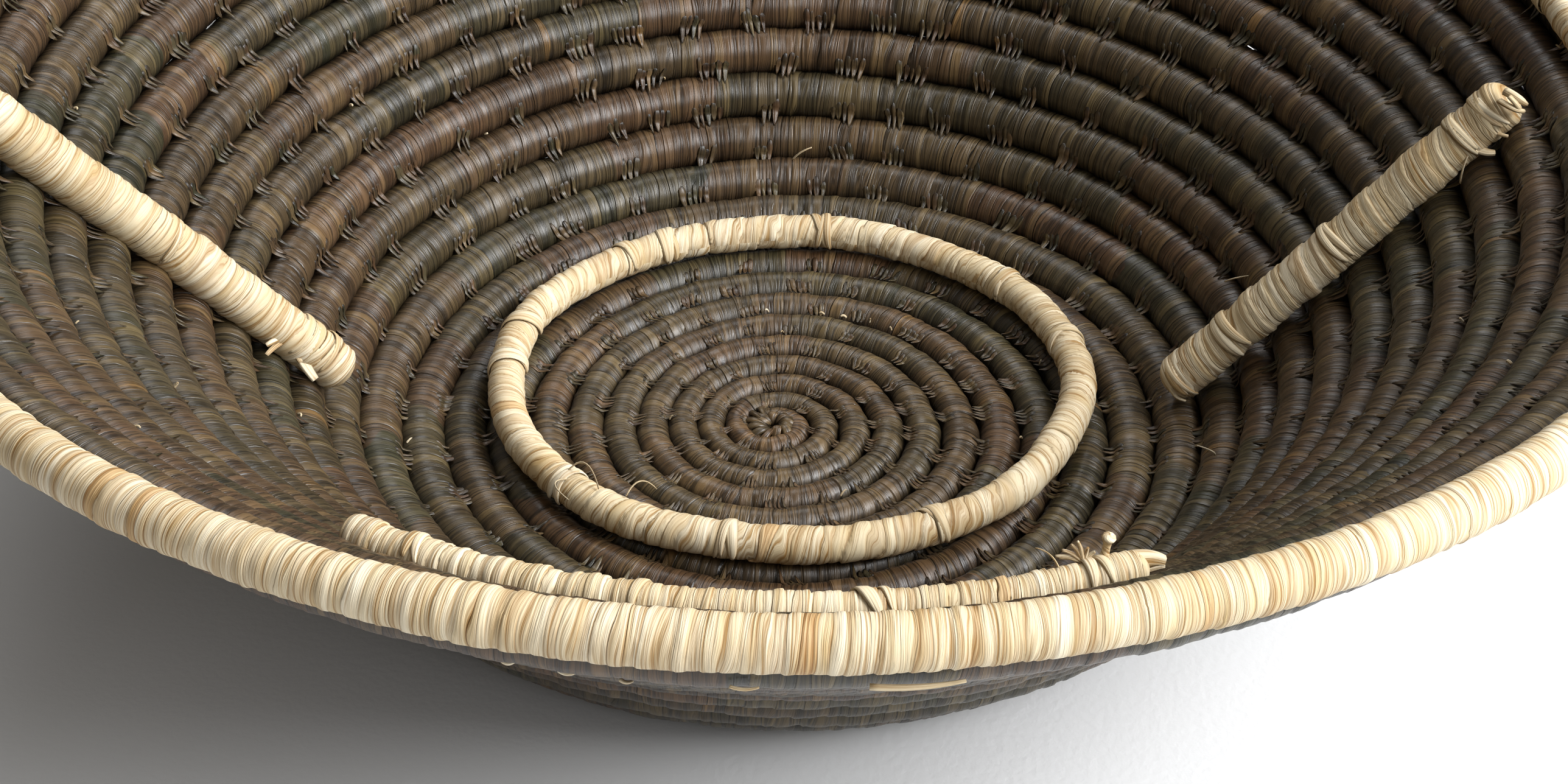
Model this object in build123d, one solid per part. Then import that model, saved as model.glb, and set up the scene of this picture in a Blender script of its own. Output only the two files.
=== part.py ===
from build123d import *
import math
import os

# A coiled bowl basket, in millimetres. The origin is on the table under the middle of
# the floor, +Z is up, and -Y is the side nearest to a person looking into the bowl.
# One grass bundle winds outwards from the middle, clockwise seen from above. Strips of
# dyed raffia wrap it and sew each row to the one before, and the last turn, the rim,
# is wrapped in undyed raffia. A raised ring on the floor and four raised bars on the
# wall are thinner bundles, wrapped in undyed raffia and tied on.

# the coil
centre_pitch = 4.0        # row spacing at the middle of the floor
wall_pitch = 8.6          # row spacing on the wall
even_turn = 11.5          # turn at which the spacing has grown to the wall's
row_count = 23            # dark rows
bundle_r = 1.2            # the grass bundle inside the rows
row_gap = 0.2             # between two rows
wrap_gap = 0.05           # between a bundle and what is wrapped round it

# the bowl's profile, along the middle of the rows
floor_reach = 56.0        # flat floor, out from the middle
bend_r = 33.0             # bend from floor to wall
wall_angle = 53.0         # steepest slope of the wall, in degrees
flare_r = 466.0           # the wall leans out again, very slightly
floor_wear = 0.9          # worn off the thickest floor rows, where they stand

knot_gap = 0.2            # between the knot in the middle and the first row

# the raised ring on the floor
ring_radius = 48.4
ring_back = 6.5           # its middle is this far behind the middle of the floor
ring_r = 3.1              # radius of the wrapped ring
ring_bundle_r = 2.2
ring_tie_places = (8, 52, 97, 133, 171, 214, 251, 296, 331)

# the raised bars: a foot is turns out from the flat floor, a head or a lying bar is
# turns in from the rim, then come degrees from +X, anticlockwise
bar_bundle_share = 0.7    # a bar's bundle radius as a share of the bar's
rise_bar_r = 3.5          # the two bars that run up the wall
rim_bar_r = 2.6           # the two bars that lie along the wall
right_foot, right_head = (2.1, 1.8), (3.0, 2.6)
left_foot, left_head = (4.0, 185.5), (0.8, 188.2)
front_rows_in, front_span = 3, (241.5, 293.5)
back_rows_in, back_span = 2, (6.0, 58.0)
bar_gap = 0.15            # between a bar or the ring and the rows under it

# the ties that hold the ring and the bars down
tie_width = 1.8
tie_thick = 0.4
tie_wrap = 220.0          # degrees that a tie goes round its bar or ring

half_turn = 0.5
back_start = -0.25        # a row starts at the back, a quarter turn before its number
profile_steps = 400       # samples used when a height is looked up
fit_steps = 40            # places along a bar where its clearance is measured
fit_rounds = 4            # times that a bar is lifted and measured again

# display colours
dark_strip, natural_strip, tie_strip = 0x45392F, 0xDCC79A, 0xE6D5AE
rim_strip, grass, knot_strip = 0xE2CFA2, 0xA88B58, 0x6B5A45

os.makedirs("parts", exist_ok=True)


def run_length(turn):
    """Length along the profile from the middle of the floor to a turn."""
    grow = wall_pitch - centre_pitch
    if turn <= even_turn:
        return centre_pitch * turn + grow * turn * turn / (2 * even_turn)
    at_even = (centre_pitch + wall_pitch) / 2 * even_turn
    return at_even + wall_pitch * (turn - even_turn)


def turn_at(length):
    """Turn at which the profile has run a given length."""
    low, high = 0.0, 4.0 * row_count
    for _ in range(fit_steps):
        middle = (low + high) / 2
        low, high = (middle, high) if run_length(middle) < length else (low, middle)
    return low


def pitch(turn):
    return centre_pitch + (wall_pitch - centre_pitch) * min(turn, even_turn) / even_turn


def row_r(row):
    return (pitch(row) - row_gap) / 2


floor_rise = row_r(row_count) - floor_wear


def profile(turn):
    """Radius, height and slope (radians) of the middle of the coil at a turn."""
    steep = math.radians(wall_angle)
    s = run_length(turn)
    if s <= floor_reach:
        return s, floor_rise, 0.0
    bent = s - floor_reach
    if bent <= bend_r * steep:
        a = bent / bend_r
        return floor_reach + bend_r * math.sin(a), floor_rise + bend_r * (1 - math.cos(a)), a
    a = steep - (bent - bend_r * steep) / flare_r
    r = floor_reach + bend_r * math.sin(steep) + flare_r * (math.sin(steep) - math.sin(a))
    z = floor_rise + bend_r * (1 - math.cos(steep)) + flare_r * (math.cos(a) - math.cos(steep))
    return r, z, a


def above(turn, degrees, lift):
    """A point over the wall: lift is measured square to the slope, into the bowl."""
    r, z, a = profile(turn)
    r -= lift * math.sin(a)
    t = math.radians(degrees)
    return Vector(r * math.cos(t), r * math.sin(t), z + lift * math.cos(a))


def joint(step):
    """Where the coil crosses the back (even steps) or the front (odd steps)."""
    r, z, _ = profile(1 + back_start + step * half_turn)
    side = 1 if step % 2 == 0 else -1
    return Vector(0, side * r, z)


def row_at(row, degrees):
    """Radius and height of the middle of a row at an angle round the bowl."""
    t = math.radians(degrees)
    right = math.cos(t) > 0
    start, end = joint(2 * row - (2 if right else 1)), joint(2 * row - (1 if right else 0))
    centre, half = (start + end) * 0.5, (start - end) * 0.5
    side = 1 if right else -1
    a, b = side * half.length * math.sin(t), -half.Y * math.cos(t)
    turned = math.atan2(a, b) - math.acos(centre.Y * math.cos(t) / math.hypot(a, b))
    turned = turned % (2 * math.pi)
    x = side * half.length * math.sin(turned)
    y = centre.Y + half.Y * math.cos(turned)
    return math.hypot(x, y), centre.Z + half.Z * math.cos(turned)


def half_coil(step, outer, inner=0.0):
    """Half a turn of the coil from one joint to the next, clockwise from above."""
    start, end = joint(step), joint(step + 1)
    across = end - start
    axis_dir = Vector(0, -across.Z, across.Y)
    if axis_dir.Z > 0:
        axis_dir = axis_dir * -1
    section = Plane(origin=start, x_dir=(0, 1, 0), z_dir=(1, 0, 0)) * Circle(outer)
    if inner:
        section -= Plane(origin=start, x_dir=(0, 1, 0), z_dir=(1, 0, 0)) * Circle(inner)
    return revolve(section, axis=Axis((start + end) * 0.5, axis_dir), revolution_arc=180)


def coil(first_step, steps, outer, inner=0.0):
    halves = [half_coil(first_step + i, outer, inner) for i in range(steps)]
    whole = halves[0]
    for half in halves[1:]:
        whole += half
    return whole


def trimmed(shape):
    """Worn flat where it stands on the table."""
    low = shape.bounding_box().min.Z
    if low >= 0:
        return shape
    side = 4 * run_length(row_count)
    return shape - Pos(0, 0, -side / 2) * Box(side, side, side)


def save(name, shape, colour):
    shape.label = name
    shape.color = Color(colour)
    export_step(shape, "parts/" + name + ".step")
    print(name, "volume", round(shape.volume, 1))


def along(start, end):
    """Plane at start that looks along the line to end."""
    return Plane(origin=start, z_dir=(end - start).normalized())


def capsule(start, end, r):
    plane = along(start, end)
    length = (end - start).length
    body = plane * Cylinder(r, length, align=(Align.CENTER, Align.CENTER, Align.MIN))
    return body + Pos(*start) * Sphere(r) + Pos(*end) * Sphere(r)


def tie(origin, forward, down, r):
    """A strip round a bar, open on the side that lies on the rows."""
    forward = forward.normalized()
    down = (down - forward * down.dot(forward)).normalized()
    plane = Plane(origin=origin, x_dir=down, z_dir=forward)
    ring = Cylinder(r + wrap_gap + tie_thick, tie_width) - Cylinder(r + wrap_gap, 2 * tie_width)
    reach = 4 * r
    open_half = math.radians((360 - tie_wrap) / 2)
    mouth = Polyline((0, 0), (reach, -reach * math.tan(open_half)),
                     (reach, reach * math.tan(open_half)), close=True)
    ring -= extrude(make_face(mouth), amount=tie_width, both=True)
    return plane * ring


def slope_down(turn, degrees):
    """Direction square to the wall, out through it."""
    return above(turn, degrees, 0) - above(turn, degrees, 1)


def bar_ends(bar_from, bar_to, r):
    """The two ends of a straight bar that just clears the rows under it."""
    samples = [profile(bar_from[0] - 2 + (bar_to[0] - bar_from[0] + 4) * i / profile_steps)
               for i in range(profile_steps + 1)]
    lift = wall_pitch / 2 + r
    for _ in range(fit_rounds):
        start, end = above(*bar_from, lift), above(*bar_to, lift)
        short = 0.0
        for i in range(fit_steps + 1):
            p = start + (end - start) * (i / fit_steps)
            pr = math.hypot(p.X, p.Y)
            near = min(math.hypot(pr - q[0], p.Z - q[1]) for q in samples)
            short = max(short, (wall_pitch - row_gap) / 2 + r + bar_gap - near)
        lift += short
    return start, end


def clear_height(reach, r):
    """Lowest height at which a level ring of that reach clears every row under it."""
    height = 0.0
    for i in range(1, profile_steps + 1):
        turn = row_count * i / profile_steps
        row_reach, row_z, _ = profile(turn)
        apart = row_r(turn) + r + bar_gap
        if abs(row_reach - reach) < apart:
            height = max(height, row_z + math.sqrt(apart ** 2 - (row_reach - reach) ** 2))
    return height


def straight_bar(name, foot, head, r, tie_places):
    foot = (turn_at(floor_reach) + foot[0], foot[1])
    head = (row_count - head[0], head[1])
    start, end = bar_ends(foot, head, r)
    bundle = bar_bundle_share * r
    plane = along(start, end)
    length = (end - start).length
    core = plane * Cylinder(bundle, length, align=(Align.CENTER, Align.CENTER, Align.MIN))
    hollow = along(start - plane.z_dir * wrap_gap, end) * Cylinder(
        bundle + wrap_gap, length + 2 * wrap_gap, align=(Align.CENTER, Align.CENTER, Align.MIN))
    save(name + "_bundle", core, grass)
    save(name + "_wrap", capsule(start, end, r) - hollow, natural_strip)
    down = slope_down((foot[0] + head[0]) / 2, (foot[1] + head[1]) / 2)
    ties = [tie(start + (end - start) * t, end - start, down, r) for t in tie_places]
    save(name + "_ties", Compound(children=ties), tie_strip)


def lying_bar(name, rows_in, span, r, tie_places):
    """A bar bent along the valley between two rows of the wall."""
    row = row_count - rows_in

    def on_valley(degrees):
        inner, outer = row_at(row, degrees), row_at(row + 1, degrees)
        across, up = outer[0] - inner[0], outer[1] - inner[1]
        apart = math.hypot(across, up)
        lift = math.sqrt((row_r(row) + r + bar_gap) ** 2 - (apart / 2) ** 2) / apart
        reach = (inner[0] + outer[0]) / 2 - up * lift
        t = math.radians(degrees)
        return Vector(reach * math.cos(t), reach * math.sin(t),
                      (inner[1] + outer[1]) / 2 + across * lift)

    path = ThreePointArc(on_valley(span[0]), on_valley(sum(span) / 2), on_valley(span[1]))
    bundle = bar_bundle_share * r

    def tube(outer, inner=0.0):
        section = Plane(origin=path @ 0, z_dir=path % 0) * Circle(outer)
        if inner:
            section -= Plane(origin=path @ 0, z_dir=path % 0) * Circle(inner)
        return sweep(section, path=path)

    save(name + "_bundle", tube(bundle), grass)
    save(name + "_wrap", tube(r, bundle + wrap_gap), natural_strip)
    ties = []
    for t in tie_places:
        degrees = span[0] + (span[1] - span[0]) * t
        ties.append(tie(path @ t, path % t, slope_down(row, degrees), r))
    save(name + "_ties", Compound(children=ties), tie_strip)


# the start of the coil and its bundle, from the middle to the end of the rim
turns = row_count + 1
back, front = joint(0), joint(1)
knot_r = (back.Y - front.Y) / 2 - row_r(1) - knot_gap
save("start_knot", Pos(0, (back.Y + front.Y) / 2, floor_rise) * Sphere(knot_r), knot_strip)
save("coil_bundle", coil(0, 2 * turns, bundle_r), grass)

# one wrap for each dark row, then the rim
for row in range(1, row_count + 1):
    wrap = coil(2 * (row - 1), 2, row_r(row), bundle_r + wrap_gap)
    save(f"row_{row:02d}_wrap", trimmed(wrap), dark_strip)
rim_r = row_r(turns)
save("rim_wrap", coil(2 * row_count, 2, rim_r, bundle_r + wrap_gap), rim_strip)

# the raised ring
ring_middle = Vector(0, ring_back, clear_height(ring_radius + ring_back, ring_r))
save("ring_bundle", Pos(*ring_middle) * Torus(ring_radius, ring_bundle_r), grass)
ring_wrap = Torus(ring_radius, ring_r) - Torus(ring_radius, ring_bundle_r + wrap_gap)
save("ring_wrap", Pos(*ring_middle) * ring_wrap, natural_strip)
ring_ties = []
for degrees in ring_tie_places:
    t = math.radians(degrees)
    spot = ring_middle + Vector(math.cos(t), math.sin(t), 0) * ring_radius
    ring_ties.append(tie(spot, Vector(-math.sin(t), math.cos(t), 0), Vector(0, 0, -1), ring_r))
save("ring_ties", Compound(children=ring_ties), tie_strip)

# the raised bars on the wall
straight_bar("right_bar", right_foot, right_head, rise_bar_r, (0.2, 0.5, 0.85))
straight_bar("left_bar", left_foot, left_head, rise_bar_r, (0.15, 0.5, 0.85))
lying_bar("front_bar", front_rows_in, front_span, rim_bar_r, (0.1, 0.37, 0.64, 0.9))
lying_bar("back_bar", back_rows_in, back_span, rim_bar_r, (0.1, 0.37, 0.64, 0.9))
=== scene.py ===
import math

import bpy
import numpy as np
from mathutils import Matrix, Vector


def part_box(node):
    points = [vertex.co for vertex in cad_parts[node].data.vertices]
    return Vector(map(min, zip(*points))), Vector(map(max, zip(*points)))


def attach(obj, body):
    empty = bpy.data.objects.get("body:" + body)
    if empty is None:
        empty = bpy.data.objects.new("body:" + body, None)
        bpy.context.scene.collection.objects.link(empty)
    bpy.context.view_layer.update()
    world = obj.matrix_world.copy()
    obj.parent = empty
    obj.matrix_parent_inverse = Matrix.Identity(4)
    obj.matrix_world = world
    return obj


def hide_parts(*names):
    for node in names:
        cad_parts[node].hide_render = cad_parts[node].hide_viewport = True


# A coiled raffia bowl. Sizes here are in millimetres and turns of the coil, and the
# meshes are written in metres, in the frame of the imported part.
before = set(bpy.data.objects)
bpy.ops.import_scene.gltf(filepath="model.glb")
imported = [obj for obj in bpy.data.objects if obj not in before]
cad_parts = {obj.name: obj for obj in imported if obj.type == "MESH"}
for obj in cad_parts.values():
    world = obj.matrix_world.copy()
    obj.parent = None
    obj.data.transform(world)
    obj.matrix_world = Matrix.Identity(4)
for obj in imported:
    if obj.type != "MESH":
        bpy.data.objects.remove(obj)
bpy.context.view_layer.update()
mm = 0.001
fullTurn = 2 * math.pi
rng = np.random.default_rng(24)


def cadBox(node):
    # lowest corner, highest corner and middle of a CAD node, in millimetres
    low, high = (np.array(corner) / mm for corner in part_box(node))
    return low, high, (low + high) / 2


# the line of the coil, which every row, stitch and bar follows
coil = dict(
    centrePitch=4.0, wallPitch=8.6,      # spacing of the rows, in the middle and on the wall
    evenTurn=11.5,                       # turn where the spacing has grown to the wall's
    rows=23,                             # dark rows, and the rim is one more
    rowStart=-0.25,                      # a row starts at the back, a quarter turn early
    floorReach=56.0, bendRadius=33.0,    # flat floor, then the bend up to the wall
    wallAngle=53.0, flareRadius=466.0,   # the wall opens out again very slightly
    firstTurn=0.42,                      # where the first turn comes out of the knot
    fill=1.045,                          # a row's thickness as a share of the spacing
    drift=-3.0, driftTurns=12.0,         # the maker's start is a little off the middle
    sway=0.42, swayTurns=6,              # how far the rows wander, and the turn where it is full
    swayWaves=((3, 0.55, 0.0, 0.5), (7, -0.9, 1.3, 0.3), (13, 1.7, 0.4, 0.2)),
    sag=1.9, sagTurns=(16.0, 20.5),      # the top of the wall gives way a little at the front
    spareTurns=1.2, lineSteps=60001,     # the measured line runs past the rim's end
)
floorRise = cadBox("start_knot")[2][2]
rimTurn = coil["rows"] + 1


def pitch(u):
    # spacing of the rows at turn u: it grows evenly, then stays
    grow = coil["wallPitch"] - coil["centrePitch"]
    return coil["centrePitch"] + grow * np.minimum(u, coil["evenTurn"]) / coil["evenTurn"]


def profile(u):
    # radius, height and slope of the coil's middle at turn u: a flat floor whose spacing
    # grows evenly, an arc of the bend's radius, then a long arc the other way
    even = np.minimum(u, coil["evenTurn"])
    run = (coil["centrePitch"] + pitch(even)) / 2 * even + coil["wallPitch"] * (u - even)
    steep = math.radians(coil["wallAngle"])
    bend, flare = coil["bendRadius"], coil["flareRadius"]
    bent = np.clip((run - coil["floorReach"]) / bend, 0, steep)
    past = np.maximum(run - coil["floorReach"] - bend * steep, 0) / flare
    radius = np.minimum(run, coil["floorReach"]) + bend * np.sin(bent)
    radius += flare * (math.sin(steep) - np.sin(steep - past))
    height = floorRise + bend * (1 - np.cos(bent))
    height += flare * (np.cos(steep - past) - math.cos(steep))
    return radius, height, bent - past


def smoothStep(t):
    # from 0 to 1 without a corner: three squares less two cubes
    return t * t * (3 - 2 * t)


def sag(u, angle):
    # full in front and nothing from the sides on, growing smoothly up the wall
    low, high = coil["sagTurns"]
    up = smoothStep(np.clip((u - low) / (high - low), 0, 1))
    return coil["sag"] * up * np.maximum(-np.sin(angle), 0) ** 2


def coilFrame(u, angle=None):
    # middle of the coil at turn u, its inward normal, the direction out along the wall and
    # its tangent. Slow waves, shared by neighbouring rows, make it hand-made: each has its
    # waves round the bowl, its shift from turn to turn, its start and its share
    radius, height, slope = profile(u)
    angle = -fullTurn * u if angle is None else angle
    sway = sum(share * np.sin(waves * angle + shift * u + start)
               for waves, shift, start, share in coil["swayWaves"])
    sway = sway * coil["sway"] * np.minimum(u / coil["swayTurns"], 1)
    radius = radius + sway * np.cos(slope)
    height = height + sway * np.sin(slope)
    fade = smoothStep(np.clip(1 - u / coil["driftTurns"], 0, 1))
    cosA, sinA, cosS, sinS = np.cos(angle), np.sin(angle), np.cos(slope), np.sin(slope)
    middle = np.stack([radius * cosA + coil["drift"] * fade, radius * sinA, height], -1)
    normal = np.stack([-sinS * cosA, -sinS * sinA, cosS], -1)
    out = np.stack([cosS * cosA, cosS * sinA, sinS], -1)
    tangent = np.stack([sinA, -cosA, 0 * angle], -1)
    return middle - normal * sag(u, angle)[..., None], normal, out, tangent


turnGrid = np.linspace(0, rimTurn + coil["spareTurns"], coil["lineSteps"])
lengthGrid = np.concatenate([[0], np.cumsum(np.linalg.norm(
    np.diff(coilFrame(turnGrid)[0], axis=0), axis=1))])


def lengthAt(u):
    # length along the coil at turn u
    return np.interp(u, turnGrid, lengthGrid)


def turnAt(length):
    # turn of the coil at a length along it
    return np.interp(length, lengthGrid, turnGrid)


def makePiece(name, points, quads, tris, uv, material, slotName, replaced=()):
    # quads and tris index points, and uv has one row for each of their corners, in order
    corners = np.concatenate([quads.ravel(), tris.ravel()]).astype(np.int32)
    starts = np.concatenate([np.arange(len(quads)) * 4, len(quads) * 4 + np.arange(len(tris)) * 3])
    mesh = bpy.data.meshes.new(name)
    mesh.vertices.add(len(points))
    mesh.vertices.foreach_set("co", (points * mm).astype(np.float32).ravel())
    mesh.loops.add(len(corners))
    mesh.loops.foreach_set("vertex_index", corners)
    mesh.polygons.add(len(starts))
    mesh.polygons.foreach_set("loop_start", starts.astype(np.int32))
    mesh.update(calc_edges=True)
    mesh.uv_layers.new(name="wrap").data.foreach_set("uv", uv.astype(np.float32).ravel())
    mesh.polygons.foreach_set("use_smooth", np.ones(len(starts), bool))
    mesh.materials.append(material)
    piece = bpy.data.objects.new(name, mesh)
    bpy.context.scene.collection.objects.link(piece)
    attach(piece, "root")
    if replaced:
        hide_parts(*replaced)
    return piece


def tubeParts(middle, normal, radius, strips, seam=math.pi / 2):
    # a closed tube: radius holds one value for each ring and each point round it, and strips
    # the strip number there, with one more column where the tube closes
    rings, around = radius.shape
    tangent = np.gradient(middle, axis=0)
    tangent /= np.linalg.norm(tangent, axis=1, keepdims=True)
    normal = normal - tangent * (normal * tangent).sum(1, keepdims=True)
    normal /= np.linalg.norm(normal, axis=1, keepdims=True)
    side = np.cross(tangent, normal)
    angle = seam + fullTurn * np.arange(around) / around
    up, across = np.cos(angle)[None, :, None], np.sin(angle)[None, :, None]
    points = middle[:, None] + radius[..., None] * (up * normal[:, None] + across * side[:, None])
    i, j = np.meshgrid(np.arange(rings - 1), np.arange(around), indexing="ij")
    k = (j + 1) % around
    quads = np.stack([i * around + j, i * around + k, (i + 1) * around + k, (i + 1) * around + j], -1)
    v = np.stack([j, j + 1, j + 1, j], -1) / around
    u = np.stack([strips[i, j], strips[i, j + 1], strips[i + 1, j + 1], strips[i + 1, j]], -1)
    # each end is a fan of triangles round the middle line's last point
    first, last = rings * around, rings * around + 1
    j, k = np.arange(around), (np.arange(around) + 1) % around
    end = (rings - 1) * around
    tris = np.concatenate([np.stack([j * 0 + first, k, j], -1),
                           np.stack([j * 0 + last, end + j, end + k], -1)])
    points = np.concatenate([points.reshape(-1, 3), middle[:1], middle[-1:]])
    capV = np.stack([j + 0.5, j + 1, j], -1) / around
    capU = np.concatenate([np.full((around, 3), strips[0, 0]), np.full((around, 3), strips[-1, 0])])
    capUv = np.stack([capU, np.concatenate([capV, capV[:, [0, 2, 1]]])], -1)
    uv = np.concatenate([np.stack([u, v], -1).reshape(-1, 2), capUv.reshape(-1, 2)])
    return points, quads.reshape(-1, 4), tris, uv


ribbon = dict(
    # outline across, in shares of the width and the thickness: flat below, ridged above
    section=[(-0.5, 0), (-0.3, -0.4), (0.3, -0.4), (0.5, 0), (0.28, 0.85), (0, 1), (-0.28, 0.85)],
    inset=0.14, run=0.4,                 # its part of the wrap map, clear of the dark laps
    tones=9000,                          # how many strip numbers a ribbon may take its tone from
)


def ribbonParts(middle, up, width, thick, stripNumber):
    # closed ribbons: middle and up are ribbons by steps by 3, width and thick are ribbons by
    # steps, and the section is carried along each middle line
    ribbons, steps = width.shape
    tangent = np.gradient(middle, axis=1)
    tangent /= np.linalg.norm(tangent, axis=2, keepdims=True) + 1e-9
    side = np.cross(tangent, up)
    side /= np.linalg.norm(side, axis=2, keepdims=True) + 1e-9
    up = np.cross(side, tangent)
    across, lift = np.array(ribbon["section"]).T
    points = (middle[:, :, None] + side[:, :, None] * (width[..., None] * across)[..., None]
              + up[:, :, None] * (thick[..., None] * lift)[..., None])
    n = len(across)
    r, i, j = np.meshgrid(np.arange(ribbons), np.arange(steps - 1), np.arange(n), indexing="ij")
    base, k = r * steps * n, (j + 1) % n
    quads = np.stack([base + i * n + j, base + (i + 1) * n + j,
                      base + (i + 1) * n + k, base + i * n + k], -1).reshape(-1, 4)
    share = across + 0.5
    u = np.stack([share[j], share[j], share[k], share[k]], -1)
    u = u * (1 - 2 * ribbon["inset"]) + ribbon["inset"] + np.floor(stripNumber)[:, None, None, None]
    v = np.stack([i, i + 1, i + 1, i], -1) / (steps - 1) * ribbon["run"]
    r, j = np.meshgrid(np.arange(ribbons), np.arange(1, n - 1), indexing="ij")
    base = r * steps * n
    last = base + (steps - 1) * n
    tris = np.concatenate([np.stack([base, base + j, base + j + 1], -1).reshape(-1, 3),
                           np.stack([last, last + j + 1, last + j], -1).reshape(-1, 3)])
    capUv = np.zeros((len(tris) * 3, 2))
    capUv[:, 0] = np.repeat(np.tile(np.floor(stripNumber), 2), (n - 2) * 3) + 0.5
    uv = np.concatenate([np.stack([u, v], -1).reshape(-1, 2), capUv])
    return points.reshape(-1, 3), quads, tris, uv


def joined(parts):
    # several meshes as one: the later ones' indices move up by the points before them
    points, quads, tris, quadUv, triUv = [], [], [], [], []
    start = 0
    for somePoints, someQuads, someTris, uv in parts:
        points.append(somePoints)
        quads.append(someQuads + start)
        tris.append(someTris + start)
        quadUv.append(uv[:someQuads.size])
        triUv.append(uv[someQuads.size:])
        start += len(somePoints)
    return (np.concatenate(points), np.concatenate(quads), np.concatenate(tris),
            np.concatenate(quadUv + triUv))


winding = dict(
    waveSines=4, waveSpread=(0.6, 1.7),  # a wave's sines, and their lengths as shares of its scale
    narrowness=(1.6, 2.4),               # beta draw: more strips are narrow than wide
    spare=10, spareStrips=8,             # strips are drawn past the end of the tube
    waverRuns=(9, 23, 6),                # lengths over which the waver of the edges changes
    flatness=4,                          # power that flattens the dome of a strip
    ahead=4,                             # strips that a map may number below its first
)


def wave(x, scale, seed):
    # smooth random values: sines of unrelated lengths near the scale, as a mean
    draw = np.random.default_rng(seed)
    total = 0 * x
    for _ in range(winding["waveSines"]):
        stretch = draw.uniform(*winding["waveSpread"])
        total = total + np.sin(fullTurn * x / (scale * stretch) + draw.uniform(0, 6.28))
    return total / winding["waveSines"]


def stripEdges(length, widths, seed):
    # where one strip of raffia ends and the next starts, for strips of uneven width
    draw = np.random.default_rng(seed)
    low, high = widths
    count = int(length / low) + winding["spareStrips"]
    return np.concatenate([[0], np.cumsum(low + (high - low) * draw.beta(*winding["narrowness"], count))])


def stripMap(length, look, seed):
    # strip number at each ring and each point round it: strips of uneven width wound on the
    # slant, lay strips for each time round, with edges that waver
    edges = stripEdges(length[-1] + winding["spare"], look["widths"], seed)
    v = np.arange(look["around"] + 1)[None, :] / look["around"]
    turned, strength, ripple = (wave(length, run, seed + 1 + i)[:, None]
                                for i, run in enumerate(winding["waverRuns"]))
    waver = np.sin(fullTurn * (v + turned)) * strength + 0.5 * np.sin(fullTurn * (2 * v + ripple))
    number = np.interp(length, edges, np.arange(len(edges)))
    return number[:, None] + look["lay"] * v + look["waver"] * waver


def stripRelief(number, look, seed):
    # each strip is domed across, stands a little higher at one edge, and has its own height
    whole = np.floor(number[:, :-1]).astype(int)
    part = number[:, :-1] - whole
    heights = np.random.default_rng(seed).uniform(-1, 1, whole.max() + winding["ahead"] + 2)
    own = heights[whole + winding["ahead"]]
    dome = 1 - (2 * part - 1) ** winding["flatness"]
    return look["dome"] * dome + look["shingle"] * (part - 0.5) + look["uneven"] * own


def linear(hexColour):
    # sRGB hex to linear colour
    parts = [int(hexColour[i:i + 2], 16) / 255 for i in (1, 3, 5)]
    return [c / 12.92 if c <= 0.04045 else ((c + 0.055) / 1.055) ** 2.4 for c in parts] + [1.0]


def add(tree, kind, inputs=None, out=0, stops=(), **settings):
    # One node, and the socket out of it: inputs are other nodes' sockets, numbers or hex
    # colours, settings are the node's own, and stops are the places and tones of a ramp.
    node = tree.nodes.new("ShaderNode" + kind)
    for key, value in settings.items():
        setattr(node, key, value)
    for key, value in (inputs or {}).items():
        if isinstance(value, bpy.types.NodeSocket):
            tree.links.new(value, node.inputs[key])
        else:
            node.inputs[key].default_value = linear(value) if isinstance(value, str) else value
    for _ in stops[2:]:
        node.color_ramp.elements.new(0.5)
    for i, (place, tone) in enumerate(stops):
        element = node.color_ramp.elements[i]
        element.position = place
        element.color = linear(tone) if isinstance(tone, str) else (tone, tone, tone, 1)
    return node.outputs[out] if node.outputs else None


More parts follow.
